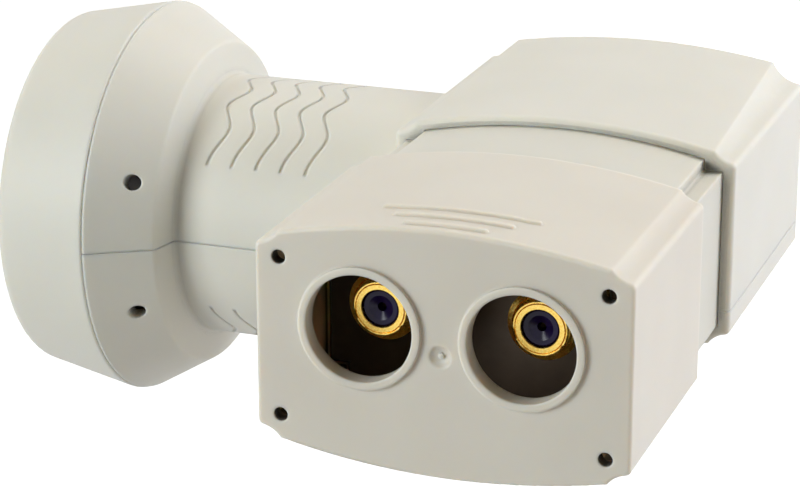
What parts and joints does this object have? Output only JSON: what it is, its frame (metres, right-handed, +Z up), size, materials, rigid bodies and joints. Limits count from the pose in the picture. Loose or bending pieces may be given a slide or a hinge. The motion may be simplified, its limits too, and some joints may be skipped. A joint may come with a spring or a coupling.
{
  "type": "satellite lnb",
  "caption": "Satellite LNB with a capped feed horn, a round clamp neck and a box housing whose weather cover slides along a sleeve over recessed F connectors.",
  "frame": {"origin": "on the feed axis, at the middle of the neck where the dish clamp holds it", "axes": "+X along the feed axis from the feed cap to the box, -Y the way the connectors point, +Z up, square to the shells' parting plane"},
  "size_m": [0.111, 0.1036, 0.0608],
  "materials": {
    "housing_plastic": "fine-grained off-white moulded plastic",
    "sleeve_plastic": "smooth off-white moulded plastic",
    "cover_plastic": "fine-grained warm off-white moulded plastic",
    "connector_plating": "bright gold-coloured plating on turned brass",
    "insulator_plastic": "smooth dark purple plastic",
    "contact_brass": "plain brass wire",
    "seal_rubber": "soft black rubber",
    "die_cast_metal": "as-cast metal",
    "bushing_plastic": "waxy white plastic",
    "board_laminate": "green solder mask on laminate",
    "chip_plastic": "black moulded chip bodies",
    "capacitor_ceramic": "fired tan ceramic",
    "resonator_ceramic": "fired pale ceramic",
    "screw_steel": "zinc-plated steel"
  },
  "bodies": {
    "base": {"board_screws": "screw_steel", "bulkhead_pad": "seal_rubber", "cap_seal": "seal_rubber", "chassis_lid": "die_cast_metal", "circuit_board": "board_laminate", "connector_sleeve": "sleeve_plastic", "feed_cap": "housing_plastic", "filter_capacitors": "capacitor_ceramic", "horn_casting": "die_cast_metal", "left_connector_seal": "seal_rubber", "left_contact_pin": "contact_brass", "left_f_connector": "connector_plating", "left_insulator": "insulator_plastic", "lid_gasket": "seal_rubber", "lid_screws": "screw_steel", "low_noise_transistors": "chip_plastic", "lower_shell": "housing_plastic", "mixer_chips": "chip_plastic", "probe_bushings": "bushing_plastic", "resonator_pucks": "resonator_ceramic", "right_connector_seal": "seal_rubber", "right_contact_pin": "contact_brass", "right_f_connector": "connector_plating", "right_insulator": "insulator_plastic", "shell_screws": "screw_steel", "side_probe": "contact_brass", "tuning_screws": "screw_steel", "upper_shell": "housing_plastic", "upright_probe": "contact_brass", "voltage_regulators": "chip_plastic"},
    "cover": {"weather_cover": "cover_plastic"}
  },
  "joints": [
    {"name": "cover_slide", "type": "slide", "parent": "base", "child": "cover", "axis": [0, 1, 0], "range_m": [0, 0.0175]}
  ]
}
